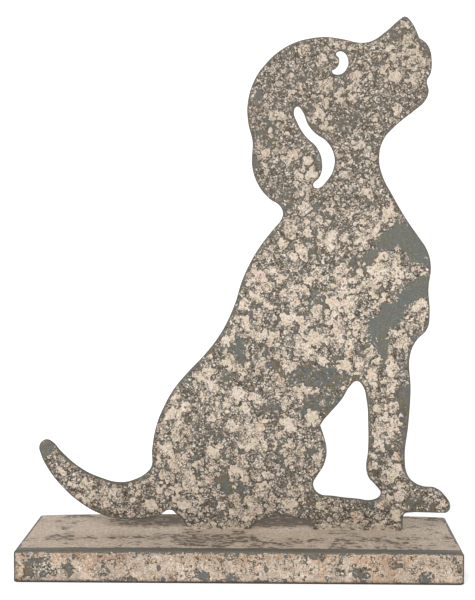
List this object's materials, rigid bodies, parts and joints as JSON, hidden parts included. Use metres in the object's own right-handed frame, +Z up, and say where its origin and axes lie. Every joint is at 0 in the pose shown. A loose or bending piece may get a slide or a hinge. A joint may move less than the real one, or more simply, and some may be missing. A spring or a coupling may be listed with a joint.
{
  "type": "metal dog figurine",
  "caption": "Flat sheet-metal puppy, seated and looking up, with a cut-out eye, ear slot and leg gap, standing upright on a folded sheet-metal tray.",
  "frame": {"origin": "middle of the tray's footprint, on the surface it stands on", "axes": "+Z up, +X towards the puppy's nose and front paw, +Y from the pictured face towards the back"},
  "size_m": [0.24, 0.09, 0.3051],
  "materials": {
    "patched_plate": "grey zinc under dabbed beige, pink and ochre paint, matt and speckled",
    "limewashed_tray": "beige paint over grey zinc, matt, streaked on top and worn bare along the folds"
  },
  "bodies": {
    "root": {"puppy_plate": "patched_plate", "base_tray": "limewashed_tray"}
  },
  "joints": []
}
